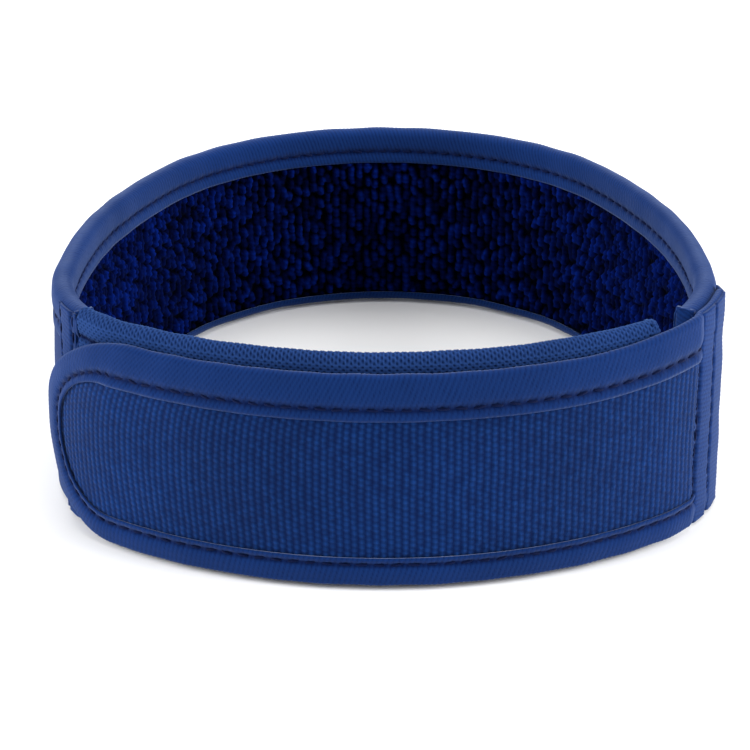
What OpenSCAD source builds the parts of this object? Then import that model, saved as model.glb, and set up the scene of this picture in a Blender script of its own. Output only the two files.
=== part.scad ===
// Blood pressure cuff: a bound fabric band with a loop strap, a hook tab, a flat bladder and a hose port.
// Z is up, along the limb. The tab closes across the front, at -Y, and the port is at the back, at +Y.
// The band's plan is an oval of arcs. A place on it is given by the azimuth of its outward normal, and a
// layer by its distance outward from the band's outer face.

/* [Ring] */
// Half of the ring's width, to the band's outer face
half_w = 57; // [52:0.5:64]
// Depth of the ring in front of its widest line
front_depth = 39.5; // [37:0.5:42]
// Depth of the ring behind its widest line
back_depth = 83; // [79:0.5:87]
// Half of the angle that the flat front arc turns through
front_turn = 33; // [31:1:35]
// Half of the angle that the back arc turns through
back_turn = 64; // [62:1:66]
// Height of the band
band_h = 38; // [34:1:48]

/* [Fabric] */
// Thickness of the binding tape
tape_t = 0.25; // [0.2:0.05:0.3]
// Width of the binding on each face
tape_w = 7; // [5:0.5:8]
// Thickness of the outer shell fabric
shell_t = 0.8; // [0.6:0.1:1]
// Thickness of the terry lining's ground and pile
lining_t = 1.3; // [1:0.1:1.6]
// Thickness of each fabric layer of the strap
strap_t = 1; // [0.8:0.1:1.2]
// Thickness of the hook tape, with its hooks
hook_t = 0.5; // [0.4:0.1:0.7]
// Thickness of the tab's knit face
face_t = 0.6; // [0.5:0.1:0.9]

/* [Closure] */
// Height of the tab
tab_h = 36.2; // [32:0.2:37]
// Height of the tab's lower edge above the band's
tab_lift = 0.3; // [0.2:0.1:0.6]
// Radius of the corners of the tab's free end
tip_r = 15; // [12:0.5:16]
// Normal azimuth at the tab's free end
tip_at = 203; // [202:0.5:205]
// Normal azimuth of the fold that the tab swings on
tab_fold_at = 321; // [319:1:323]
// Normal azimuth of the fold that the strap swings on
strap_fold_at = 221; // [219:1:223]
// Normal azimuth at the strap's free end
strap_end_at = 305; // [303:1:307]

/* [Seams] */
// Pitch of the stitches
stitch_pitch = 2.8; // [2.5:0.1:3.5]
// Length of the thread that shows on each stitch
stitch_l = 2; // [1.6:0.1:2.2]
// Thickness of the sewing thread
thread_t = 0.2; // [0.15:0.05:0.25]
// Width of the left seam tape, as an angle
left_turn = 13; // [11:1:15]
// Width of the tab's sewn-down root and the seam tape over it, as an angle
root_turn = 24; // [20:1:28]
// Thickness of the tab's sewn-down root
root_t = 1.4; // [1.2:0.1:1.6]
// Thickness of a seam tape
seam_t = 0.2; // [0.15:0.05:0.3]

/* [Bladder and port] */
// Thickness of each bladder film
film_t = 0.25; // [0.2:0.05:0.3]
// Gap between the two films when the bladder is empty
air_t = 0.35; // [0.3:0.05:0.5]
// Half of the angle that the bladder covers
bladder_turn = 72.5; // [62.5:2.5:80]
// Width of the weld round the bladder
weld_w = 3; // [2:0.5:4]
// Radius of the port's stem
stem_r = 3; // [2.8:0.1:3.4]
// Radius of the bore through the port
air_r = 1.2; // [1:0.1:1.4]
// Radius of the port's flange, under the shell
flange_r = 8; // [7:0.5:9]
// Radius of the hose nipple
nipple_r = 2.2; // [2:0.1:2.4]
// Length of the hose nipple
nipple_l = 9; // [8:0.5:10]

/* [Hidden] */
$fn = 96;
clear = 0.3;       // gap between bodies that move past each other

// The radius of the arc next to an apex, and of the arc after it, of a quarter oval w wide and d deep.
function apex_r(w, d, turn) = (w * cos(turn) - d * (1 - sin(turn))) / (cos(turn) + sin(turn) - 1);
function side_r(w, d, turn) = (d * sin(turn) - w * (1 - cos(turn))) / (cos(turn) + sin(turn) - 1);
front_r = apex_r(half_w, front_depth, front_turn);
corner_r = side_r(half_w, front_depth, front_turn);
back_r = apex_r(half_w, back_depth, back_turn);
flank_r = side_r(half_w, back_depth, back_turn);

// The oval's arcs, from the right flank round the back: centre x, centre y, radius, first and last azimuth.
ARCS = [
    [half_w - flank_r, 0, flank_r, 0, 90 - back_turn],
    [0, back_depth - back_r, back_r, 90 - back_turn, 90 + back_turn],
    [flank_r - half_w, 0, flank_r, 90 + back_turn, 180],
    [corner_r - half_w, 0, corner_r, 180, 270 - front_turn],
    [0, front_r - front_depth, front_r, 270 - front_turn, 270 + front_turn],
    [half_w - corner_r, 0, corner_r, 270 + front_turn, 360]
];
function lap_of(az) = az < 0 ? az + 360 : az;
function arc_at(az) = [for (a = ARCS) if (lap_of(az) >= a[3] && lap_of(az) <= a[4]) a][0];
function place(az, d) = let (a = arc_at(az)) [a[0] + (a[2] + d) * cos(az), a[1] + (a[2] + d) * sin(az)];

// Azimuths from az0 to az1, with every whole step between them.
facet = 2.5;
facet_dip = 0.03;  // that the flat facets of a wall's inner face stand in from its curve, at most
function steps(az0, az1) = concat(
    [az0], [for (k = [floor(az0 / facet) + 1 : ceil(az1 / facet) - 1]) k * facet], [az1]
);

// Distances outward from the band's outer face.
shell_out = -tape_t;
shell_in = shell_out - shell_t;
film_gap_out = shell_in - film_t;
film_gap_in = film_gap_out - air_t;
lining_out = film_gap_in - film_t;
lining_in = lining_out - lining_t;
band_in = lining_in - tape_t;
loop_in = shell_out - strap_t;
mesh_in = loop_in - strap_t;
strap_in = mesh_in - tape_t;
tab_in = seam_t + thread_t + clear;
hook_in = tab_in + tape_t;
face_in = hook_in + hook_t;
face_out = face_in + face_t;
tab_out = face_out + tape_t;

band_from = tab_fold_at + 0.5 - 360;     // the band's right end, as an azimuth below zero
band_to = strap_fold_at - 0.5;
row_inset = 4.6;                         // from a bound edge to its row of stitches
root_from = tab_fold_at + 0.5;
root_to = root_from + root_turn;
root_out = root_t + seam_t;

// The model's own origin is the middle of its box, at its base.
washer_t = 0.9;
head_l = 7;                              // of the elbow's head, outward from the washer
head_r = 4.5;
head_y = back_depth + shell_out + washer_t;
mid_x = (place(root_to, root_out)[0] - half_w - thread_t) / 2;
mid_y = (head_y + head_l - front_depth - tab_out - thread_t) / 2;
module in_row_frame() { translate([-mid_x, -mid_y, 0]) children(); }

// A wall along the oval between two azimuths, two distances and two heights.
module wall(az0, az1, d0, d1, z0, z1) {
    az = steps(az0, az1);
    last = len(az) - 1;
    translate([0, 0, z0]) linear_extrude(height = z1 - z0)
        polygon(concat([for (a = az) place(a, d1)], [for (i = [0 : last]) place(az[last - i], d0)]));
}

// Folded tape over the edge at z_edge: a channel with its arms tape_w long, upward or downward.
module edge_channel(az0, az1, d0, d1, z_edge, up) {
    low = up ? z_edge : z_edge - tape_w;
    difference() {
        wall(az0, az1, d0, d1, low, low + tape_w);
        wall(az0 - 1, az1 + 1, d0 + tape_t, d1 - tape_t, up ? low + tape_t : low - 1, low + tape_w + (up ? 1 : -tape_t));
    }
}

// Threads on the face at distance d: one lies along the oval at each pitch.
module stitch_row(az0, az1, d, z) {
    for (a = ARCS, lap = [-360, 0]) {
        from = max(az0, a[3] + lap);
        to = min(az1, a[4] + lap);
        count = floor((to - from) * PI / 180 * (a[2] + d) / stitch_pitch);
        if (count > 0)
            for (i = [0 : count - 1])
                let (at = from + (i + 0.5) * (to - from) / count)
                    translate(concat(place(at, d), z)) rotate([0, 0, at])
                        translate([0, -stitch_l / 2, -thread_t / 2]) cube([thread_t, stitch_l, thread_t]);
    }
}

// Threads standing one above another at one azimuth.
module stitch_column(az, d, z0, z1) {
    count = floor((z1 - z0) / stitch_pitch);
    for (i = [0 : count - 1])
        translate(concat(place(az, d), z0 + (i + 0.5) * stitch_pitch)) rotate([0, 0, az])
            translate([0, -thread_t / 2, -stitch_l / 2]) cube([thread_t, thread_t, stitch_l]);
}

// ---- the band ----
module outer_shell() {
    color("midnightblue") difference() {
        wall(band_from, band_to, shell_in, shell_out, tape_t, band_h - tape_t);
        port_hole(flange_r + 0.1);
    }
}
module terry_lining() {
    color("navy") wall(band_from, band_to, lining_in, lining_out, tape_t, band_h - tape_t);
}

bladder_z = 4;
module bladder_outer_film() {
    color("gainsboro") difference() {
        wall(90 - bladder_turn, 90 + bladder_turn, film_gap_out, shell_in, bladder_z, band_h - bladder_z);
        port_hole(air_r);
    }
}
module bladder_inner_film() {
    low = 90 - bladder_turn;
    high = 90 + bladder_turn;
    color("gainsboro") {
        wall(low, high, lining_out, film_gap_in, bladder_z, band_h - bladder_z);
        wall(low, high, film_gap_in, film_gap_out, bladder_z, bladder_z + weld_w);
        wall(low, high, film_gap_in, film_gap_out, band_h - bladder_z - weld_w, band_h - bladder_z);
        for (at = [low, high - facet])
            wall(at, at + facet, film_gap_in, film_gap_out, bladder_z + weld_w, band_h - bladder_z - weld_w);
    }
}
module top_binding() {
    color("royalblue") edge_channel(band_from, band_to, band_in, 0, band_h, false);
}
module bottom_binding() {
    color("royalblue") edge_channel(band_from, band_to, band_in, 0, 0, true);
}
module top_binding_stitches() {
    color("darkblue") {
        stitch_row(root_to - 360 + 1, band_to - left_turn - 2, 0, band_h - row_inset);
        stitch_row(band_from + 1, band_to - 1, band_in - thread_t - facet_dip, band_h - row_inset);
    }
}
module bottom_binding_stitches() {
    color("darkblue") {
        stitch_row(root_to - 360 + 1, band_to - left_turn - 2, 0, row_inset);
        stitch_row(band_from + 1, band_to - 1, band_in - thread_t - facet_dip, row_inset);
    }
}

// ---- the seams at the two front corners ----
module left_seam_tape() {
    color("royalblue") wall(band_to - 1 - left_turn, band_to - 1, 0, seam_t, tape_t, band_h - tape_t);
}
module left_seam_stitches() {
    color("darkblue")
        for (az = [band_to - 3, band_to + 1 - left_turn])
            stitch_column(az, seam_t, 1, band_h - 1);
}
module tab_root() {
    color("mediumblue") wall(root_from, root_to, 0, root_t, tab_lift, band_h);
}
module right_seam_tape() {
    color("royalblue") wall(root_from, root_to, root_t, root_out, tab_lift, band_h);
}
module right_seam_stitches() {
    color("darkblue")
        for (az = [root_from + 1, root_from + 10])
            stitch_column(az, root_out, tab_lift + 1, band_h - 1);
}

// ---- the port ----
module at_port(y) { translate([0, y, band_h / 2]) rotate([-90, 0, 0]) children(); }
module port_hole(r) { at_port(back_depth - 6) cylinder(r = r, h = 12); }

module port_flange() {
    color("silver") difference() {
        intersection() {
            wall(70, 110, shell_in, shell_out, band_h / 2 - 10, band_h / 2 + 10);
            port_hole(flange_r);
        }
        port_hole(stem_r);
    }
}
module port_washer() {
    washer_r = 10;
    color("dimgray") difference() {
        intersection() {
            wall(70, 110, shell_out, shell_out + washer_t, band_h / 2 - 12, band_h / 2 + 12);
            port_hole(washer_r);
        }
        port_hole(stem_r);
    }
}
module port_elbow() {
    nipple_y = head_y + head_l - nipple_r - 0.5;
    nipple_z = band_h / 2 - head_r - nipple_l;
    collar_r = nipple_r + 0.8;
    stem_y = back_depth + shell_in + 0.2;  // the stem stops just short of the bladder film
    color("dimgray") difference() {
        union() {
            at_port(stem_y) cylinder(r = stem_r, h = head_y - stem_y + 0.1);
            at_port(head_y) cylinder(r = head_r, h = head_l);
            translate([0, nipple_y, nipple_z]) cylinder(r = nipple_r, h = nipple_l + head_r);
            translate([0, nipple_y, band_h / 2 - head_r - 0.6]) cylinder(r = collar_r, h = head_r);
        }
        at_port(stem_y - 1) cylinder(r = air_r, h = nipple_y - stem_y + 1);
        translate([0, nipple_y, nipple_z - 1]) cylinder(r = air_r, h = nipple_l + head_r + 1);
    }
}

// ---- the loop strap ----
module strap_loop_face() {
    color("mediumblue") wall(strap_fold_at, strap_end_at, loop_in, shell_out, tape_t, band_h - tape_t);
}
module strap_mesh_backing() {
    color("slateblue") wall(strap_fold_at, strap_end_at, mesh_in, loop_in, tape_t, band_h - tape_t);
}
module strap_top_binding() {
    color("royalblue") edge_channel(strap_fold_at, strap_end_at, strap_in, 0, band_h, false);
}
module strap_bottom_binding() {
    color("royalblue") edge_channel(strap_fold_at, strap_end_at, strap_in, 0, 0, true);
}
module strap_stitches() {
    color("darkblue")
        for (z = [row_inset, band_h - row_inset])
            stitch_row(strap_fold_at + 1, strap_end_at - 1, strap_in - thread_t - facet_dip, z);
}

// ---- the tab ----
// The tab is cut as two lengths. The tip is on one arc of the oval, and the rest runs on from it to the fold.
tip_to = 234;
tip_mid = 216;  // normal azimuth that the tip's outline is drawn square to

// The tip's outline, with round corners at the free end, inset from its edges and drawn through the wall.
module tip_outline(inset) {
    r = tip_r - inset;
    end = -(corner_r + tab_out) * sin(tip_mid - tip_at) + inset;
    low = tab_lift + inset;
    high = tab_lift + tab_h - inset;
    translate([ARCS[3][0], ARCS[3][1], 0]) rotate([0, 0, tip_mid]) rotate([90, 0, 90])
        translate([0, 0, 8]) linear_extrude(height = corner_r + 8)
            polygon(concat(
                [[60, low]],
                [for (t = [270 : -10 : 180]) [end + r + r * cos(t), low + r + r * sin(t)]],
                [for (t = [180 : -10 : 90]) [end + r + r * cos(t), high - r + r * sin(t)]],
                [[60, high]]
            ));
}
module tip_layer(d0, d1, inset, to) {
    intersection() {
        wall(187.5, to, d0, d1, -1, band_h + 1);
        tip_outline(inset);
    }
}
module tab_face() {
    color("mediumblue") {
        tip_layer(face_in, face_out, tape_t, tip_to);
        wall(tip_to, tab_fold_at, face_in, face_out, tab_lift + tape_t, tab_lift + tab_h - tape_t);
    }
}
module tab_hook_patch() {
    color("midnightblue") {
        tip_layer(hook_in, face_in, tape_t, tip_to);
        wall(tip_to, tab_fold_at, hook_in, face_in, tab_lift + tape_t, tab_lift + tab_h - tape_t);
    }
}
module tab_binding() {
    color("royalblue") {
        difference() {
            tip_layer(tab_in, tab_out, 0, tip_to);
            tip_layer(hook_in, face_out, tape_t, tip_to + 2);
            tip_outline(tape_w);
        }
        edge_channel(tip_to, tab_fold_at, tab_in, tab_out, tab_lift + tab_h, false);
        edge_channel(tip_to, tab_fold_at, tab_in, tab_out, tab_lift, true);
    }
}
module tab_stitches() {
    straight_from = tip_at + tip_r / (corner_r + tab_out) * 180 / PI;
    end_at = tip_at + row_inset / (corner_r + tab_out) * 180 / PI;
    color("darkblue") {
        for (z = [tab_lift + row_inset, tab_lift + tab_h - row_inset])
            stitch_row(straight_from, tab_fold_at - 1, tab_out, z);
        stitch_column(end_at, tab_out, tab_lift + tip_r, tab_lift + tab_h - tip_r);
    }
}

in_row_frame() {
    outer_shell();
    terry_lining();
    bladder_outer_film();
    bladder_inner_film();
    top_binding();
    bottom_binding();
    top_binding_stitches();
    bottom_binding_stitches();
    left_seam_tape();
    left_seam_stitches();
    tab_root();
    right_seam_tape();
    right_seam_stitches();
    port_flange();
    port_washer();
    port_elbow();
    strap_loop_face();
    strap_mesh_backing();
    strap_top_binding();
    strap_bottom_binding();
    strap_stitches();
    tab_face();
    tab_hook_patch();
    tab_binding();
    tab_stitches();
}
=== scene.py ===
"""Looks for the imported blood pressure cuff: fabrics, bindings, threads, port, light and camera.

Every fabric is laid on the oval that the CAD band follows. A place on it is an arc length, a height and a
distance outward from the band's outer face, all in millimetres here, and in metres once it becomes a mesh.
"""
import math

import bpy
import numpy as np
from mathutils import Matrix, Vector


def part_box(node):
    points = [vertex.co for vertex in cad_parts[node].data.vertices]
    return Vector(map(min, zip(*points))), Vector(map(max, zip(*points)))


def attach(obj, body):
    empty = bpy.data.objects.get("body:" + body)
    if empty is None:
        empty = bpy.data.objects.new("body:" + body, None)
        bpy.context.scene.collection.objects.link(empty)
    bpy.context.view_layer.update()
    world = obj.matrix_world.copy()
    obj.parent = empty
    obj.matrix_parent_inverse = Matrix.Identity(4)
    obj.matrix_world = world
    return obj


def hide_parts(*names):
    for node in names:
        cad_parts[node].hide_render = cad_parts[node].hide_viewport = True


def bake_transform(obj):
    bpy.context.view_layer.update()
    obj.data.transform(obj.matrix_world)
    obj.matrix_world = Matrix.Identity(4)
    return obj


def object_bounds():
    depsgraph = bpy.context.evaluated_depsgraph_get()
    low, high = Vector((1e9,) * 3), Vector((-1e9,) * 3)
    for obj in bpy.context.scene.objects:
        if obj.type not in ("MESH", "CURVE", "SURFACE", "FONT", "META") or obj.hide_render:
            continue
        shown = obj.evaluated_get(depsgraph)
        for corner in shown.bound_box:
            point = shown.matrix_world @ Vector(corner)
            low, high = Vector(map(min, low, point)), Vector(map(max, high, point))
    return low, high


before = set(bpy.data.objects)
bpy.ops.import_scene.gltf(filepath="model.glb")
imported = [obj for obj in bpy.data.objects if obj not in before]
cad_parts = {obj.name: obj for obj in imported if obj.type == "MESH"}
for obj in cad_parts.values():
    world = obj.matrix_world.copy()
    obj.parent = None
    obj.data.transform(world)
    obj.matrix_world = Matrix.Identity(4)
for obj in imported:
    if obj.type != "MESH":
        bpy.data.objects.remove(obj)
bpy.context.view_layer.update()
MM = 0.001

# ---- sizes in millimetres and degrees, which follow the CAD model except where a comment says so ----
HALF_W, FRONT, BACK, HEIGHT = 57.0, 39.5, 83.0, 38.0
FRONT_TURN, BACK_TURN = 33.0, 64.0
# Distances outward from the band's outer face.
TAPE, BAND_IN, STRAP_IN = 0.25, -3.45, -2.5
SHELL_IN, LINING_OUT = -1.05, -1.9
TAB_IN, TAB_OUT, ROOT_OUT = 0.7, 2.3, 1.6
# The tab's edges. Its tip is rounder than the CAD tab's.
TAB_LOW, TAB_HIGH, TIP_R = 0.3, 36.5, 17.6
# Azimuths. The tab's layers stop at TAB_TO, under the seam tape that goes on to ROOT_TO.
TIP_AT, TAB_FOLD, TAB_TO, ROOT_TO = 203.0, 321.0, 342.0, 345.5
BAND_FROM, BAND_TO, STRAP_FOLD, STRAP_END = -38.5, 220.5, 221.0, 305.0
# A folded tape's width, and how far its stitch row lies from the fold on the band and on the tab.
TAPE_W, ROW, TAB_ROW = 7.0, 4.6, 5.3
STITCH, STITCH_L, THREAD_R = 2.8, 2.0, 0.2
RIB_PITCH, RIB_HEIGHT = 0.8, 0.07
# Looks only: how far the upper edge leans in at the left and right, and the sine of the azimuth past which the
# ring stands upright again, clear of the bladder.
LEAN, UPRIGHT = 1.2, 0.26
# Looks only: how much further back the tip's corners lie, above and below, and where that fades out.
DRAWN_ABOVE, DRAWN_BELOW, DRAWN_TO = 9.0, 2.5, 70.0
# Looks only: the strap's upper edge.
STRAP_HIGH = HEIGHT + 0.8


def quarter(wide, deep, turn):
    """Radii of the arc at the apex and of the arc at the flank of a quarter oval."""
    c, s = math.cos(math.radians(turn)), math.sin(math.radians(turn))
    k = c + s - 1
    return (wide * c - deep * (1 - s)) / k, (deep * s - wide * (1 - c)) / k


FRONT_R, CORNER_R = quarter(HALF_W, FRONT, FRONT_TURN)
BACK_R, FLANK_R = quarter(HALF_W, BACK, BACK_TURN)
ENDS = np.array([90 - BACK_TURN, 90 + BACK_TURN, 180, 270 - FRONT_TURN, 270 + FRONT_TURN, 360.0])
ARC_X = np.array([HALF_W - FLANK_R, 0, FLANK_R - HALF_W, CORNER_R - HALF_W, 0, HALF_W - CORNER_R])
ARC_Y = np.array([0, BACK - BACK_R, 0, 0, FRONT_R - FRONT, 0])
ARC_R = np.array([FLANK_R, BACK_R, FLANK_R, CORNER_R, FRONT_R, CORNER_R])

shell_low, shell_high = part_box("outer_shell")
MID_X = -(shell_low.x + shell_high.x) / 2 / MM
MID_Y = BACK - TAPE - shell_high.y / MM


def smooth(t):
    """From 0 to 1 as t goes from 0 to 1, level at both ends."""
    t = np.clip(t, 0, 1)
    return t * t * (3 - 2 * t)


def arc_of(az):
    """Which arc of the oval holds the azimuth."""
    return np.clip(np.searchsorted(ENDS, np.mod(az, 360.0)), 0, 5)


def place(az, d, z):
    """Points in metres in the row frame, at normal azimuth az, distance d and height z. The sides lean in."""
    az, d, z = np.broadcast_arrays(np.asarray(az, float), np.asarray(d, float), np.asarray(z, float))
    a, t = arc_of(az), np.radians(az)
    r = ARC_R[a] + d - LEAN * z / HEIGHT * np.cos(t) ** 2 * smooth(1 - np.sin(t) / UPRIGHT)
    return np.stack([ARC_X[a] + r * np.cos(t) - MID_X, ARC_Y[a] + r * np.sin(t) - MID_Y, z], -1) * MM


class Ruler:
    """Arc length along the oval at one distance from the band's face, from azimuth 0."""

    def __init__(self, d):
        self.az = np.linspace(-120.0, 480.0, 12001)
        r = ARC_R[arc_of(self.az)] + d
        steps = (r[1:] + r[:-1]) / 2 * math.radians(self.az[1] - self.az[0])
        self.s = np.concatenate([[0.0], np.cumsum(steps)])
        self.s -= np.interp(0.0, self.az, self.s)

    def at(self, az):
        return float(np.interp(az, self.az, self.s))

    def azimuth(self, s):
        return np.interp(s, self.s, self.az)


def wave(x, size, seed):
    """A smooth random line of height about 1 along x, with features about size long."""
    r = np.random.default_rng(seed)
    total = np.zeros_like(np.asarray(x, float))
    for k in range(5):
        total = total + math.cos(k) * np.sin(x * 2 * math.pi / size * r.uniform(0.5, 1.6) + r.uniform(0, 6.28))
    return total / 2.0


def bump(x, middle, width):
    """A smooth hump of height 1 at middle."""
    return np.exp(-(((x - middle) / width) ** 2))


# ---- meshes ----
def make(name, verts, quads, **points):
    """A smooth mesh object from points and quads, facing outward, with point attributes."""
    tri = np.concatenate([quads[:, [0, 1, 2]], quads[:, [0, 2, 3]]])
    a, b, c = verts[tri[:, 0]], verts[tri[:, 1]], verts[tri[:, 2]]
    if np.einsum("ij,ij->i", a, np.cross(b, c)).sum() < 0:
        quads = quads[:, ::-1]
    quads = np.ascontiguousarray(quads, np.int32)
    me = bpy.data.meshes.new(name)
    me.vertices.add(len(verts))
    me.vertices.foreach_set("co", np.ascontiguousarray(verts, np.float32).ravel())
    me.loops.add(quads.size)
    me.loops.foreach_set("vertex_index", quads.ravel())
    me.polygons.add(len(quads))
    me.polygons.foreach_set("loop_start", np.arange(0, quads.size, 4, dtype=np.int32))
    me.update(calc_edges=True)
    me.validate()
    me.polygons.foreach_set("use_smooth", np.ones(len(me.polygons), bool))
    for key, values in points.items():
        values = np.ascontiguousarray(values, np.float32)
        kind = "FLOAT" if values.ndim == 1 else "FLOAT_VECTOR"
        data = me.attributes.new(key, kind, "POINT").data
        data.foreach_set("value" if kind == "FLOAT" else "vector", values.ravel())
    o = bpy.data.objects.new(name, me)
    bpy.context.scene.collection.objects.link(o)
    return o


def grid_quads(n, m, start=0):
    """Quads between the points of an n by m grid, numbered from start."""
    i = np.arange(n - 1)[:, None] * m + np.arange(m - 1)[None]
    return np.stack([i, i + 1, i + m + 1, i + m], -1).reshape(-1, 4) + start


def slab_parts(face, back):
    """Points and quads of a closed slab between two grids of the same shape."""
    n, m = face.shape[:2]
    k = n * m
    top, under = grid_quads(n, m), grid_quads(n, m, k)[:, ::-1]
    rim = np.concatenate([
        np.arange(m),
        np.arange(1, n) * m + m - 1,
        (n - 1) * m + np.arange(m - 2, -1, -1),
        np.arange(n - 2, 0, -1) * m,
    ])
    nxt = np.roll(rim, -1)
    side = np.stack([rim, nxt, nxt + k, rim + k], -1)[:, ::-1]
    return np.concatenate([face.reshape(-1, 3), back.reshape(-1, 3)]), np.concatenate([top, under, side])


BACK_RELIEF, THREAD_RELIEF = 0.45, 0.7


def slab(name, face, back, relief, s, w):
    """A slab of cloth. Its relief runs from 0, deep, to 1, high, and sets its colour, darker in the hollows as
    painted shade; s and w are the cloth's own measures, in mm.
    """
    verts, quads = slab_parts(face, back)
    s, w = np.broadcast_arrays(s, w)
    cloth = np.stack([s, w, np.zeros_like(s, float)], -1).reshape(-1, 3) * MM
    relief = np.concatenate([relief.ravel(), np.full(relief.size, BACK_RELIEF)])
    return make(name, verts, quads, relief=relief, cloth=np.concatenate([cloth, cloth]))


def tubes(name, lines, radius=THREAD_R, sides=6):
    """Closed tubes of a radius in mm, along lines, an array of (line, point, xyz) in metres."""
    lines = np.asarray(lines, float)
    count, n = lines.shape[:2]
    along = np.gradient(lines, axis=1)
    along /= np.linalg.norm(along, axis=2, keepdims=True)
    up = np.zeros_like(along)
    up[..., 2] = 1.0
    flat = np.abs(along[..., 2]) > 0.9
    up[flat] = [1.0, 0.2, 0.0]
    x = np.cross(along, up)
    x /= np.linalg.norm(x, axis=2, keepdims=True)
    y = np.cross(x, along)
    t = np.arange(sides) * 2 * math.pi / sides
    round_it = np.cos(t)[:, None] * x[:, :, None] + np.sin(t)[:, None] * y[:, :, None]
    ring = lines[:, :, None] + radius * MM * round_it
    one = []
    for i in range(n - 1):
        for j in range(sides):
            k = (j + 1) % sides
            one.append((i * sides + j, i * sides + k, (i + 1) * sides + k, (i + 1) * sides + j))
    for end, turn in ((0, -1), (n - 1, 1)):
        base = end * sides
        for q in range(1, sides - 2, 2):
            one.append(tuple(base + v for v in (0, q, q + 1, q + 2))[::turn])
    one = np.array(one)
    quads = (one[None] + (np.arange(count) * n * sides)[:, None, None]).reshape(-1, 4)
    verts = ring.reshape(-1, 3)
    return make(name, verts, quads, relief=np.full(len(verts), THREAD_RELIEF), cloth=verts)


# ---- materials ----
def node(tree, kind, values=None, links=None, **settings):
    """A new shader node with its settings, its inputs' values, and the outputs linked to its inputs."""
    made = tree.nodes.new("ShaderNode" + kind)
    for key, value in settings.items():
        setattr(made, key, value)
    for key, value in (values or {}).items():
        made.inputs[key].default_value = value
    for key, output in (links or {}).items():
        tree.links.new(output, made.inputs[key])
    return made


def blank(name):
    """A new material's node tree and its shader."""
    m = bpy.data.materials.new(name)
    m.use_nodes = True
    return m, m.node_tree, m.node_tree.nodes["Principled BSDF"]


def noise(tree, scale, detail):
    """The output of a noise fixed to the object, with scale in waves per metre."""
    space = node(tree, "TexCoord")
    values = {"Scale": scale, "Detail": detail}
    return node(tree, "TexNoise", values, {"Vector": space.outputs["Object"]}).outputs["Fac"]


def roughen(tree, shader, height, strength, distance):
    """Raises the shader's surface by height, with distance in metres."""
    raised = node(tree, "Bump", {"Strength": strength, "Distance": distance}, {"Height": height})
    tree.links.new(raised.outputs["Normal"], shader.inputs["Normal"])


def material(name, low, high, rough, sheen, gloss, tint=(0.3, 0.5, 1.0), mottle=0.12, fibre=(0.0005, 0.35),
             weave=None):
    """Cloth: colour runs from low in its hollows to high on its ridges, as painted shade in the hollows, with
    slow mottling and fine fibres.

    fibre is (size in metres, strength), and weave is the pitch of a plain weave in metres.
    """
    m, tree, shader = blank(name)
    shader.inputs["Roughness"].default_value = rough
    shader.inputs["Specular IOR Level"].default_value = gloss
    shader.inputs["Sheen Weight"].default_value = sheen
    shader.inputs["Sheen Roughness"].default_value = 0.45
    shader.inputs["Sheen Tint"].default_value = (*tint, 1)
    # Painted shade: the relief attribute darkens the colour towards low in the cloth's hollows.
    relief = node(tree, "Attribute", attribute_name="relief").outputs["Fac"]
    ramp = node(tree, "Mix", {"A": (*low, 1), "B": (*high, 1)}, {"Factor": relief}, data_type="RGBA")
    ends = {"From Min": 0.3, "From Max": 0.7, "To Min": 1 - mottle, "To Max": 1 + mottle}
    shade = node(tree, "MapRange", ends, {"Value": noise(tree, 55.0, 4.0)})
    links = {0: ramp.outputs["Result"], "Scale": shade.outputs["Result"]}
    mottled = node(tree, "VectorMath", None, links, operation="SCALE")
    tree.links.new(mottled.outputs["Vector"], shader.inputs["Base Color"])
    height = noise(tree, 1 / fibre[0], 3.0)
    if weave:
        cloth = node(tree, "Attribute", attribute_name="cloth").outputs["Vector"]
        values = {"Scale": 0.5 / weave, "Distortion": 0.6, "Detail": 1.0}
        warp, weft = [node(tree, "TexWave", values, {"Vector": cloth}, bands_direction=axis).outputs["Fac"]
                      for axis in ("X", "Y")]
        crossed = node(tree, "Math", None, {0: warp, 1: weft}, operation="MULTIPLY").outputs[0]
        height = node(tree, "Math", None, {0: crossed, 1: height}, operation="ADD").outputs[0]
    roughen(tree, shader, height, fibre[1], 0.0002)
    return m


def dress(o, m, body=None, between=None, stands_for=()):
    """Gives a piece its material, as its mesh's only one, and makes it ride on a body, or, when between is given,
    bakes its placement into its mesh and leaves it on no body.
    """
    o.data.materials.clear()
    o.data.materials.append(m)
    if between:
        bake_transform(o)
    else:
        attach(o, body)
    if stands_for:
        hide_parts(*stands_for)


PALE_BLUE = (0.55, 0.68, 1.0)
# The lining's near-black low colour is painted shade for the hollows of its pile.
TERRY = material("terry", (0.0, 0.0, 0.002), (0.0008, 0.010, 0.130), 1.0, 0.02, 0.02, mottle=0.3,
                 fibre=(0.0004, 0.6))
TWILL = material("twill", (0.0003, 0.006, 0.046), (0.004, 0.026, 0.128), 0.9, 0.24, 0.04, tint=PALE_BLUE)
KNIT = material("knit", (0.0002, 0.004, 0.036), (0.005, 0.036, 0.165), 0.9, 0.2, 0.04, tint=(0.5, 0.65, 1.0),
                fibre=(0.0003, 0.4))
MESH = material("mesh", (0.0002, 0.003, 0.030), (0.016, 0.050, 0.180), 0.9, 0.14, 0.04)
SHELL = material("shell", (0.0003, 0.006, 0.046), (0.004, 0.026, 0.128), 0.85, 0.2, 0.05, tint=PALE_BLUE,
                 weave=0.0006)
THREAD = material("thread", (0.0, 0.001, 0.012), (0.0008, 0.006, 0.045), 0.7, 0.03, 0.08, fibre=(0.0002, 0.4))
HOOK = material("hooks", (0.0002, 0.003, 0.030), (0.003, 0.018, 0.100), 0.6, 0.05, 0.05)
FILM = material("film", (0.35, 0.37, 0.4), (0.5, 0.52, 0.55), 0.35, 0.0, 0.25)

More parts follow.
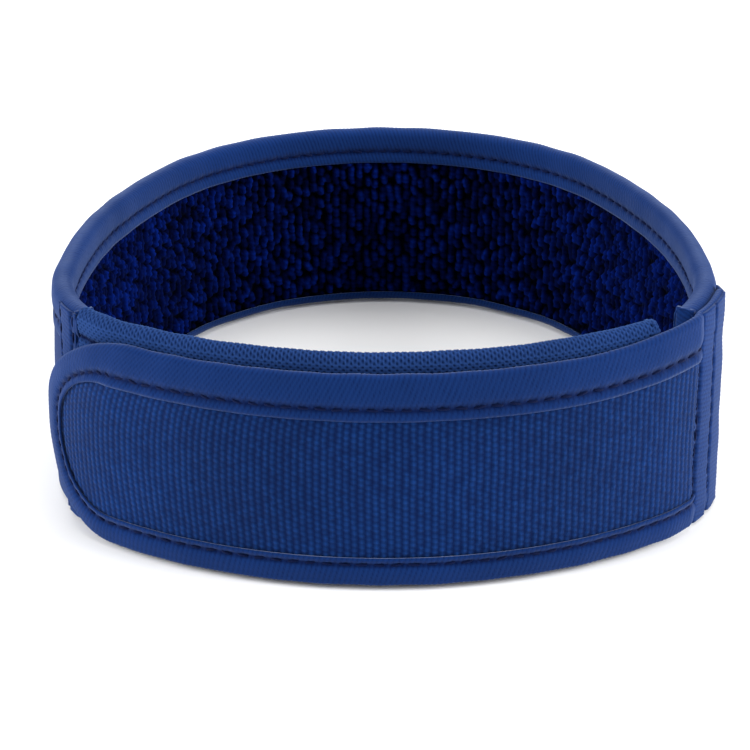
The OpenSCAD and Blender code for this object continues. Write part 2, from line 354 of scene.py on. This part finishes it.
# ---- the band ----
OUT, INNER, TAB = Ruler(0.0), Ruler(BAND_IN), Ruler(TAB_OUT)
FOLD_REACH = 1.3  # how deep a fold is rounded
TAPE_THIN = 0.35
THREAD_IN = 0.2  # how far a row's middle lies under the face
# Steps along one thread, and how far it stands over its middle's level there.
ALONG = np.linspace(-1, 1, 7)[None]
ARCH = 0.02 - 0.35 * np.abs(ALONG) ** 3


def pinch(w, s):
    """How far a bound edge swells between its fold and its stitches, and sinks along the stitches, in mm."""
    holes = 0.5 + 0.5 * np.cos(2 * math.pi * s / STITCH)
    return 0.16 * bump(w, 2.4, 1.5) - (0.26 + 0.22 * holes) * bump(w, ROW, 0.55) + 0.06 * bump(w, 6.0, 0.8)


def twill(s, w, pitch=RIB_PITCH, slant=0.35):
    """Slanted ribs, from 0 between them to 1 on them."""
    t = np.mod((s + slant * w) / pitch + 0.15 * wave(s, 9.0, 3), 1.0)
    return np.sin(math.pi * t) ** 0.7


def mesh_knit(s, w):
    """Rows of small holes in an otherwise level knit, from 0 in a hole to 1 between them. Used as colour, it
    gives the holes painted shade.
    """
    hole = np.sin(2 * math.pi * s / 1.15) * np.sin(2 * math.pi * w / 1.0)
    return 1 - np.clip(hole * 1.35 - 0.1, 0, 1) - 0.25 * np.clip(-hole, 0, 1)


def tape_relief(ribs, inset=0.0, stitched=None):
    """A tape's relief, which sets its colour: its ribs, with painted shade between them and along the row where
    it is stitched.
    """
    groove_shade = 0.0 if stitched is None else 0.9 * bump(inset, stitched, 0.5)
    return np.clip(0.15 + 0.75 * ribs - groove_shade, 0, 1)


def u_section(d_out, d_in, arm_rows=13, inner=TAPE_W):
    """Inset, distance and outward direction of a folded tape's face, from its outer arm round to its inner."""
    half = (d_out - d_in) / 2
    reach = min(half, FOLD_REACH)
    w = np.linspace(TAPE_W, reach, arm_rows)
    t = np.linspace(0, math.pi, 9)[1:-1]
    inset = np.concatenate([w, reach - reach * np.sin(t), np.linspace(reach, inner, arm_rows)])
    d = np.concatenate([np.full(arm_rows, d_out), d_in + half + half * np.cos(t), np.full(arm_rows, d_in)])
    lean_w = np.concatenate([np.zeros(arm_rows), -np.sin(t), np.zeros(arm_rows)])
    lean_d = np.concatenate([np.ones(arm_rows), np.cos(t), -np.ones(arm_rows)])
    return inset[None], d[None], lean_w[None], lean_d[None]


def binding(name, s, edge, d_in, seed, rib=RIB_HEIGHT, pattern=twill, arm_rows=13, inner=TAPE_W):
    """Tape folded over an edge. edge(s, inset) gives the cloth's (arc length, height) at an inset from it."""
    inset, d, lean_w, lean_d = u_section(0.0, d_in, arm_rows, inner)
    s = s[:, None]
    fold = np.concatenate([[0.0], np.cumsum(np.hypot(np.diff(inset[0]), np.diff(d[0])))])[None]
    ribs = pattern(s, fold)
    swell = pinch(inset, s)
    lift = rib * (ribs - 0.5) + swell + 0.05 * wave(s, 13.0, seed)
    soft = 0.12 * wave(s, 34.0, seed + 7)
    faces = []
    for w, dd in ((inset + lean_w * lift, d + lean_d * lift),
                  (inset + np.where(lean_w < 0, -lean_w * TAPE_THIN, 0.0), d + lean_d * (swell - TAPE_THIN))):
        along, z = edge(s, w + 0.25 * soft)
        faces.append(place(OUT.azimuth(along), dd + soft * 0.5, z))
    return slab(name, faces[0], faces[1], tape_relief(ribs, inset, ROW), s, inset)


def stitches(name, centres, edge, d, away, seed):
    """One thread for each centre, arched away from the tape at distance d and drawn down at its ends."""
    r = np.random.default_rng(seed)
    slant = r.uniform(-0.1, 0.1, (len(centres), 1))
    s = centres[:, None] + ALONG * STITCH_L / 2 + r.uniform(-0.08, 0.08, (len(centres), 1))
    along, z = edge(s, ROW + slant * ALONG * 2)
    return tubes(name, place(OUT.azimuth(along), d + away * ARCH, z))


def top_edge(height):
    """For binding: the upper edge of a cloth that reaches up to height."""
    return lambda s, w: np.broadcast_arrays(s, height - w)


def low_edge(height):
    """For binding: the lower edge of a cloth that reaches down to height."""
    return lambda s, w: np.broadcast_arrays(s, height + w)


def row(a, b):
    """The middles of the stitches in a row from a to b."""
    return np.arange(a + STITCH, b - STITCH / 2, STITCH)


def joined(name, parts):
    """One object from several made ones."""
    bpy.ops.object.select_all(action="DESELECT")
    for o in parts:
        o.select_set(True)
    bpy.context.view_layer.objects.active = parts[0]
    bpy.ops.object.join()
    parts[0].name = parts[0].data.name = name
    return parts[0]


# The lining's pile covers the lower tape's inner arm, so that arm is cut short. FOLD_W is the tape in a fold.
UNDER_PILE, FOLD_W = 2.0, 2.2
s0, s1 = OUT.at(BAND_FROM), OUT.at(BAND_TO)
root = OUT.at(ROOT_TO - 360)
fine = np.arange(s0, s1, 0.24)
for where, edge, seed in (("top", top_edge(HEIGHT), 1), ("bottom", low_edge(0.0), 2)):
    inner = TAPE_W if where == "top" else UNDER_PILE
    tape = binding(f"band_{where}_tape", fine, edge, BAND_IN, seed, inner=inner)
    dress(tape, TWILL, "band", stands_for=[f"{where}_binding"])
    rows = [stitches("outer", row(root, s1), edge, -THREAD_IN, 1, seed)]
    if where == "top":
        rows.append(stitches("inner", row(s0, s1), edge, BAND_IN + THREAD_IN, -1, seed + 20))
    thread = joined(f"band_{where}_threads", rows)
    dress(thread, THREAD, "band", stands_for=[f"{where}_binding_stitches"])


def end_cap(name, s_end, outward, d_in, top, m, body):
    """Cloth that closes a bound end from the floor to the height top, as a narrow upright pillow."""
    trim, proud, behind = 0.15, 0.7, 0.6
    dd, zz = np.meshgrid(np.linspace(-trim, d_in + trim, 9), np.linspace(trim, top - trim, 150), indexing="ij")
    round_d = np.sqrt(np.clip(1 - (2 * dd / d_in - 1) ** 2, 0, 1))
    round_z = np.clip(np.minimum(zz, top - zz) / 1.2, 0, 1) ** 0.5
    ribs = twill(zz, dd)
    face = place(OUT.azimuth(s_end + outward * (proud * round_d * round_z + 0.05 * ribs)), dd, zz)
    back = place(OUT.azimuth(s_end - outward * behind + 0 * dd), dd, zz)
    dress(slab(name, face, back, tape_relief(ribs), zz, dd), m, body)


end_cap("band_right_end", s0 + 0.4, -1, BAND_IN, HEIGHT, TWILL, "band")
end_cap("band_left_end", s1 - 0.9, 1, BAND_IN, HEIGHT, TWILL, "band")

# Outer shell: plain weave, softly padded between the bindings, whose arms cover its edges.
SHELL_EDGE = 5.4
s = np.arange(s0, s1, 0.6)[:, None]
z = np.linspace(SHELL_EDGE, HEIGHT - SHELL_EDGE, 56)[None]
mid = (z - HEIGHT / 2) / (HEIGHT / 2 - SHELL_EDGE)
full = 1 - mid ** 2
puff = 0.35 * full + 0.10 * wave(s + 0.6 * z, 21.0, 11) * full + 0.05 * wave(s, 7.0, 12) * mid ** 4
weave = 0.5 + 0.5 * np.sin(s * 2 * math.pi / 1.2) * np.sin(z * 2 * math.pi / 1.06)
face = place(OUT.azimuth(s), -0.32 + puff + 0 * z, z + 0 * s)
back = place(OUT.azimuth(s), SHELL_IN + 0 * z, z + 0 * s)
# Painted shade: the colour is darker where the plain weave has its hollows.
shell = slab("band_shell_cloth", face, back, 0.35 + 0.4 * weave, s, z)
dress(shell, SHELL, "band", stands_for=["outer_shell"])

# Terry lining: rows of looped pile, each loop its own rounded hump.
PILE_D, PILE_H, CELL = -2.05, 1.55, 0.40
LOOP_S, LOOP_Z, LOOP_REACH = 1.6, 2.3, 1.7
sv = np.arange(INNER.at(BAND_FROM) + 0.1, INNER.at(BAND_TO) - 0.1, CELL)
zv = np.arange(1.5, HEIGHT - 6.2, CELL)
pile = np.zeros((len(sv), len(zv)))
r = np.random.default_rng(21)
for col, cs in enumerate(np.arange(sv[0], sv[-1] + 2, LOOP_S)):
    for cz in np.arange(zv[0] - 1 + (col % 2) * LOOP_Z / 2, zv[-1] + 2, LOOP_Z):
        ls, lz = cs + r.normal(0, 0.2), cz + r.normal(0, 0.35)
        wide, tall, turn = r.uniform(0.66, 0.92), r.uniform(1.15, 1.7), r.normal(0, 0.22)
        high = r.uniform(0.45, 1.0)
        i0, i1 = np.searchsorted(sv, [ls - LOOP_REACH, ls + LOOP_REACH])
        j0, j1 = np.searchsorted(zv, [lz - LOOP_REACH, lz + LOOP_REACH])
        if i1 <= i0 or j1 <= j0:
            continue
        x, y = sv[i0:i1, None] - ls, zv[None, j0:j1] - lz
        a = (x * math.cos(turn) + y * math.sin(turn)) / wide
        b = (-x * math.sin(turn) + y * math.cos(turn)) / tall
        hump = high * np.sqrt(np.clip(1 - a * a - b * b, 0, 1)) * (1 - 0.16 * np.cos(b * 7.0))
        pile[i0:i1, j0:j1] = np.maximum(pile[i0:i1, j0:j1], hump)
rise = np.clip((np.minimum(zv - zv[0], zv[-1] - zv) + 0.15) / 0.9, 0, 1)[None]
pile = pile * np.sqrt(rise)
az = INNER.azimuth(sv)[:, None]
face = place(az, PILE_D - PILE_H * pile, zv[None])
back = place(az, LINING_OUT + 0 * pile, zv[None])
# Painted shade: the colour sinks to near black between the loops, on the lower loops and where the pile thins at
# its edges.
terry = slab("terry_pile", face, back, np.clip(pile * 1.1 - 0.1, 0, 1) ** 2.0, sv[:, None], zv[None])
dress(terry, TERRY, "band", stands_for=["terry_lining"])

# ---- the tab, with its sewn-down root ----
u_tip, u_fold, u_end = TAB.at(TIP_AT), TAB.at(TAB_FOLD), TAB.at(TAB_TO)
LONG, TALL, ROUND = u_end - u_tip, TAB_HIGH - TAB_LOW, TIP_R * math.pi / 2
# Lengths round the outline at which its five legs begin and end: lower edge, corner, tip, corner, upper edge.
MARKS = np.cumsum([0.0, LONG - TIP_R, ROUND, TALL - 2 * TIP_R, ROUND, LONG - TIP_R])


def tab_edge(p, w):
    """The tab's (arc length, height) at length p round it, from its root's lower corner, and inset w."""
    p, w = np.broadcast_arrays(p, w)
    leg = np.clip(np.searchsorted(MARKS, p, side="right") - 1, 0, 4)
    q = p - MARKS[leg]
    turn, r = q / TIP_R, TIP_R - w
    legs = [leg == k for k in range(4)]
    u = np.select(legs, [LONG - q, TIP_R - r * np.sin(turn), w, TIP_R - r * np.cos(turn)], q + TIP_R)
    v = np.select(legs, [w, TIP_R - r * np.cos(turn), TIP_R + q, TALL - TIP_R + r * np.sin(turn)], TALL - w)
    return u_tip + u, TAB_LOW + v


def tape_share(p):
    """How wide the tab's tape is folded at length p, as a share of TAPE_W: narrow below and wide above."""
    return np.interp(p, [MARKS[1], MARKS[4]], [0.72, 1.08])


# The tab is pressed down over PRESS mm round the fold, and widens over FLARE mm before it.
PRESS, FLARE = 3.0, 26.0


def lay_tab(s, d, z):
    """Points of the tab. Its tip is drawn out to a half ellipse, and its root is pressed down onto the band."""
    up = (z - TAB_LOW) / TALL
    off_middle = 2 * up - 1
    drawn = np.where(off_middle > 0, DRAWN_ABOVE, DRAWN_BELOW)
    s = s + drawn * off_middle ** 2 * np.clip(1 - (s - u_tip) / DRAWN_TO, 0, 1)
    share = np.clip((d - TAB_IN) / (TAB_OUT - TAB_IN), 0, 1.5)
    down = (TAB_OUT - ROOT_OUT) * share + (TAB_IN - 0.1) * (1 - share)
    z = z + (HEIGHT - TAB_HIGH) * smooth((s - u_fold + FLARE) / FLARE) * up
    return place(TAB.azimuth(s), d - smooth((s - u_fold + PRESS / 2) / PRESS) * down, z)


def halfway_up(az, d):
    return tuple(place(az, d, HEIGHT / 2))


ACROSS = ("band", "tab", halfway_up(TAB_FOLD + 2.5, TAB_OUT), halfway_up(TAB_FOLD - 5.0, TAB_OUT))
TAB_THIN, TAB_PITCH = 0.3, 0.85
p = np.arange(0, MARKS[-1], 0.24)[:, None]
inset, d, lean_w, lean_d = u_section(TAB_OUT, TAB_IN)
w0 = inset * tape_share(p)
ribs = twill(p, w0, TAB_PITCH)
swell = pinch(inset - (TAB_ROW - ROW), p)
lift = RIB_HEIGHT * (ribs - 0.5) + swell + 0.05 * wave(p, 13.0, 31)
faces = []
for w, dd in ((w0 + lean_w * lift, d + lean_d * lift),
              (w0 + np.where(lean_w < 0, -lean_w * TAB_THIN, 0.0), d + lean_d * (swell - TAB_THIN))):
    along, z = tab_edge(p, w)
    faces.append(lay_tab(along, dd, z))
tape = slab("tab_tape", faces[0], faces[1], tape_relief(ribs, inset, TAB_ROW), p, inset)
dress(tape, TWILL, between=ACROSS, stands_for=["tab_binding"])

centres = row(0.5, MARKS[-1] - 0.5)[:, None]
tilt = np.random.default_rng(41).uniform(-0.12, 0.12, centres.shape)
p = centres + ALONG * STITCH_L / 2
along, z = tab_edge(p, TAB_ROW * tape_share(p) + tilt * ALONG * 2)
lines = [lay_tab(along, level + away * ARCH, z)
         for level, away in ((TAB_OUT - THREAD_IN, 1), (TAB_IN + THREAD_IN, -1))]
thread = tubes("tab_threads", np.concatenate(lines))
dress(thread, THREAD, between=ACROSS, stands_for=["tab_stitches"])

# How far the tab's cloths lie inside its edges: the knit below and above, then both at the tip.
UNDER, OVER, INSET = 4.2, 6.5, 5.3


def tip_cut(s):
    """How much the round tip takes from each end of a cloth's upright at arc length s."""
    reach = TIP_R - INSET
    near = np.clip((u_tip + TIP_R - s) / reach, 0, 1)
    return reach * (1 - np.sqrt(1 - near ** 2))


def tab_grid(s, below, above, count):
    """A cloth's uprights at arc lengths s, with gaps of below and above mm to the tab's lower and upper edges."""
    s = s[:, None]
    lo, hi = TAB_LOW + below + tip_cut(s), TAB_HIGH - above - tip_cut(s)
    z = lo + (hi - lo) * np.linspace(0, 1, count)[None]
    return s + 0 * z, z


# Knit face: upright ribs with a raised stitch at each course, coloured lighter on top and darker in the hollows
# as painted light and shade. SHADES has one random tone for each rib and course.
RIB, COURSE = 1.16, 1.0
SHADES = np.random.default_rng(63).uniform(0.55, 1.0, (260, 40))
KNIT_D, KNIT_THICK = TAB_OUT - 0.42, 0.5
uu, zz = tab_grid(np.arange(u_tip + INSET, u_end - 0.3, RIB / 4), UNDER, OVER, 84)
rib = 0.5 + 0.5 * np.cos(2 * math.pi * (uu / RIB + 0.04 * wave(zz, 9.0, 61)))
course = 0.5 + 0.5 * np.cos(2 * math.pi * (zz / COURSE + 0.5 * np.mod(np.floor(uu / RIB + 0.5), 2)))
column = np.floor((uu - uu.min()) / RIB + 0.5).astype(int)
knit = (0.25 + 0.75 * rib) * (0.45 + 0.55 * course) * SHADES[column, np.floor(zz / COURSE).astype(int)]
face = lay_tab(uu, KNIT_D + 0.3 * (knit - 0.5) + 0.08 * wave(uu + zz, 30.0, 62), zz)
back = lay_tab(uu, KNIT_D - KNIT_THICK + 0 * zz, zz)
knit_face = slab("tab_knit", face, back, np.clip(knit * 1.1, 0, 1), uu, zz)
dress(knit_face, KNIT, between=ACROSS, stands_for=["tab_face", "tab_root"])

# Hook patch: a backing with rows of small bent hooks, behind the tab. HOOK_BEND is (distance, rise) up a hook.
HOOK_BEND = ((1.15, 0.0), (0.92, 0.0), (0.78, 0.12), (0.8, 0.3))
HOOK_S, HOOK_Z, HOOK_R = 1.1, 1.0, 0.09
uu, zz = tab_grid(np.linspace(u_tip + INSET, u_fold - 3.5, 260), INSET, INSET, 20)
face, back = lay_tab(uu, 1.05 + 0 * zz, zz), lay_tab(uu, 1.35 + 0 * zz, zz)
base = slab("hook_base", face, back, 0.4 + 0 * zz, uu, zz)
r = np.random.default_rng(71)
hooks = []
for k, hs in enumerate(np.arange(u_tip + INSET + 0.6, u_fold - 4.2, HOOK_S)):
    lo, hi = TAB_LOW + INSET + tip_cut(hs) + 0.6, TAB_HIGH - INSET - tip_cut(hs) - 0.5
    for hz in np.arange(lo + 0.5 * (k % 2), hi, HOOK_Z):
        js, jz = hs + r.normal(0, 0.05), hz + r.normal(0, 0.05)
        hooks.append([(js, level, jz + rise) for level, rise in HOOK_BEND])
hooks = np.array(hooks)
hooks = tubes("hook_rows", lay_tab(hooks[..., 0], hooks[..., 1], hooks[..., 2]), HOOK_R, sides=4)
patch = joined("tab_hooks", [base, hooks])
dress(patch, HOOK, "tab", stands_for=["tab_hook_patch"])

# ---- the seam tapes at the two front corners ----
SEAM_WANDER = 0.18  # how far the seams' rows stray from straight


def seam_tape(name, ruler, a, b, z0, z1, d, thick, grooves, seed, drop=0.0, stands_for=()):
    """An upright strip of twill with deep stitched grooves, from arc length a to b and from height z0 to z1.

    Its edge at b is pressed down by drop.
    """
    s = np.linspace(a, b, int((b - a) / 0.16))[:, None]
    z = np.arange(z0, z1, 0.22)[None]
    ribs = twill(z + 0 * s, s + 0 * z, slant=0.2)
    shape = np.zeros_like(ribs)
    for g in grooves:
        wander = g + SEAM_WANDER * wave(z, 16.0, seed + 3)
        shape = shape - (0.42 + 0.18 * np.cos(2 * math.pi * z / STITCH)) * bump(s, wander, 0.5)
    edge = np.minimum(s - a, b - s)
    swell = 0.28 * (1 - np.exp(-edge / 0.7)) + 0.12 * wave(z + 0 * s, 11.0, seed) * np.clip(edge, 0, 1)
    sway = 0.3 * wave(z, 15.0, seed + 5) * ((s - a) / (b - a)) ** 2
    d = d - drop * np.clip(1 - (b - s) / 3.0, 0, 1) ** 0.8
    face = place(ruler.azimuth(s + sway), d + shape + swell + 0.06 * (ribs - 0.5), z + 0 * s)
    back = place(ruler.azimuth(s + sway), d - thick + 0 * z, z + 0 * s)
    # Painted shade: the colour is darker in the stitched grooves and between the ribs.
    strip = slab(name, face, back, np.clip(0.2 + 0.75 * ribs + 1.5 * shape, 0, 1), z + 0 * s, s + 0 * z)
    dress(strip, TWILL, "band", stands_for=stands_for)


def upright_stitches(name, ruler, grooves, z0, z1, d, seed, wander):
    """Rows of upright threads in a seam tape's grooves. wander is that tape's seed + 3."""
    r = np.random.default_rng(seed)
    middles = np.arange(z0 + STITCH / 2, z1 - STITCH / 3, STITCH)[:, None]
    z = middles + ALONG * STITCH_L / 2
    lines = []
    for g in grooves:
        s = g + SEAM_WANDER * wave(z, 16.0, wander) + r.uniform(-0.05, 0.05, middles.shape)
        lines.append(place(ruler.azimuth(s), d - 0.3 * np.abs(ALONG) ** 3 + 0 * z, z))
    return tubes(name, np.concatenate(lines))


grooves = (TAB.at(TAB_FOLD + 0.4), TAB.at(TAB_FOLD + 9.6))
seam_tape("right_seam_tape_cloth", TAB, TAB.at(TAB_FOLD - 0.5), TAB.at(ROOT_TO), TAB_LOW - 0.1, HEIGHT,
          ROOT_OUT, 0.3, grooves, 81, drop=1.3, stands_for=["right_seam_tape"])
thread = upright_stitches("right_seam_threads", TAB, grooves, TAB_LOW + 0.5, HEIGHT - 0.5, ROOT_OUT - 0.1,
                          83, 84)
dress(thread, THREAD, "band", stands_for=["right_seam_stitches"])

grooves = (OUT.at(BAND_TO - 12), OUT.at(BAND_TO - 3))
seam_tape("left_seam_tape_cloth", OUT, OUT.at(BAND_TO - 14), OUT.at(BAND_TO - 1), 0.4, HEIGHT - 0.4, 0.12,
          0.2, grooves, 91, stands_for=["left_seam_tape"])
thread = upright_stitches("left_seam_threads", OUT, grooves, 1.0, HEIGHT - 1.0, 0.2, 93, 94)
dress(thread, THREAD, "band", stands_for=["left_seam_stitches"])

# ---- the loop strap ----
STRAP_EDGE, STRAP_MIDDLE = 5.6, STRAP_IN + 1.2
MESH_HEIGHT, MESH_ROWS = 0.22, 24
t0, t1 = OUT.at(STRAP_FOLD) - 0.2, OUT.at(STRAP_END)
SEAM = ("band", "strap", halfway_up(STRAP_FOLD - 1.5, 0), halfway_up(STRAP_FOLD + 5.0, 0))
fine = np.arange(t0, t1, 0.16)
for where, edge, seed in (("top", top_edge(STRAP_HIGH), 101), ("bottom", low_edge(0.0), 102)):
    tape = binding(f"strap_{where}_tape", fine, edge, STRAP_IN, seed, MESH_HEIGHT, mesh_knit, MESH_ROWS)
    dress(tape, MESH, between=SEAM, stands_for=[f"strap_{where}_binding"])
rows = [stitches("row", row(t0, t1), edge, STRAP_IN + THREAD_IN, -1, seed)
        for edge, seed in ((top_edge(STRAP_HIGH), 110), (low_edge(0.0), 111))]
thread = joined("strap_threads", rows)
dress(thread, THREAD, between=SEAM, stands_for=["strap_stitches"])

# The mesh faces the arm and the loop pile faces the hooks. They meet at STRAP_MIDDLE.
s = np.arange(t0, t1, 0.3)[:, None]
z = np.linspace(STRAP_EDGE, HEIGHT - STRAP_EDGE, 88)[None]
holes = 0.5 + 0.5 * np.cos(2 * math.pi * s / 0.95) * np.cos(2 * math.pi * z / 0.95)
fuzz = wave(s * 3.1 + z * 1.7, 5.0, 121) * wave(z * 2.9 - s, 4.0, 122)
middle = place(OUT.azimuth(s), STRAP_MIDDLE, z + 0 * s)
# Painted shade: both cloths are coloured darker where their faces sink, in the mesh's holes and between the
# loops.
for name, d, relief, m, slot_name, part in (
        ("strap_mesh_cloth", STRAP_IN + 0.35 - 0.14 * holes, holes, MESH, "mesh", "strap_mesh_backing"),
        ("strap_loop_cloth", -0.3 + 0.12 * np.clip(fuzz, -1, 1), np.clip(0.5 + 0.4 * fuzz, 0, 1), KNIT, "loop",
         "strap_loop_face")):
    face = place(OUT.azimuth(s), d, z + 0 * s)
    dress(slab(name, face, middle, relief, s, z), m, between=SEAM, stands_for=[part])

# Its free end is closed, and wrapped in overlock threads.
end_cap("strap_right_end", t1 - 0.7, 1, STRAP_IN, STRAP_HIGH, MESH, "strap")
WRAP_PITCH, WRAP_R = 0.8, 0.24
zc = np.arange(0.7, STRAP_HIGH - 0.5, WRAP_PITCH)[:, None]
t = np.linspace(-1, 1, 11)[None]
wrap_d = STRAP_IN / 2 + (0.05 - STRAP_IN / 2) * np.clip(np.cos(math.pi * (t + 1) / 2) * 1.6, -1.06, 1.06)
wrap_s = t1 - 1.9 + 2.1 * np.sqrt(np.clip(1 - np.abs(t) ** 3, 0, 1))
wrap = tubes("strap_overlock", place(OUT.azimuth(wrap_s + 0 * zc), wrap_d + 0 * zc, zc + 0.5 * t), WRAP_R)
dress(wrap, MESH, "strap")

# ---- the port, whose CAD nodes are shown as they are ----
plastic, tree, shader = blank("port_plastic")
shader.inputs["Roughness"].default_value = 0.42
grain = noise(tree, 900.0, 5.0)
tones = {"A": (0.006, 0.008, 0.013, 1), "B": (0.016, 0.019, 0.028, 1)}
tone = node(tree, "Mix", tones, {"Factor": grain}, data_type="RGBA")
tree.links.new(tone.outputs["Result"], shader.inputs["Base Color"])
roughen(tree, shader, grain, 0.2, 0.0001)
for part, m in (("port_washer", plastic), ("port_elbow", plastic), ("port_flange", plastic),
                ("bladder_outer_film", FILM), ("bladder_inner_film", FILM)):
    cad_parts[part].data.materials.clear()
    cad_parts[part].data.materials.append(m)

# ---- floor, light and camera ----
low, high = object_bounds()
pale, tree, shader = blank("floor")
shader.inputs["Base Color"].default_value = (0.93, 0.93, 0.93, 1)
shader.inputs["Roughness"].default_value = 0.9
bpy.ops.mesh.primitive_plane_add(size=12, location=(0, 0, min(low.z, 0.0) - 0.0002))
floor = bpy.context.object
floor.name = "floor"
floor.data.materials.append(pale)

world = bpy.data.worlds.new("studio")
world.use_nodes = True
world.node_tree.nodes["Background"].inputs["Color"].default_value = (1, 1, 1, 1)
world.node_tree.nodes["Background"].inputs["Strength"].default_value = 0.5
bpy.context.scene.world = world
bpy.context.scene.view_settings.view_transform = "Standard"


def lamp(name, where, size, power):
    """A square lamp that faces the middle of the floor."""
    data = bpy.data.lights.new(name, "AREA")
    data.size, data.energy = size, power
    o = bpy.data.objects.new(name, data)
    o.location = where
    o.rotation_euler = (-Vector(where)).to_track_quat("-Z", "Y").to_euler()
    bpy.context.scene.collection.objects.link(o)


lamp("left", (-1.0, -0.16, 0.45), 0.7, 14.0)
lamp("right", (1.0, -0.16, 0.45), 0.7, 17.0)
lamp("top", (0.0, 0.15, 1.05), 0.8, 6.0)

LIFT, AWAY = math.radians(24.0), 0.329
aim = Vector((-MID_X, -MID_Y, HEIGHT / 2)) * MM
data = bpy.data.cameras.new("camera")
data.sensor_width = 36.0
data.lens = 91.2
data.shift_x, data.shift_y = -9 / 750, -5 / 750
camera = bpy.data.objects.new("camera", data)
out = Vector((0, -math.cos(LIFT), math.sin(LIFT)))
camera.location = aim + out * AWAY
camera.rotation_euler = out.to_track_quat("Z", "Y").to_euler()
bpy.context.scene.collection.objects.link(camera)
bpy.context.scene.camera = camera
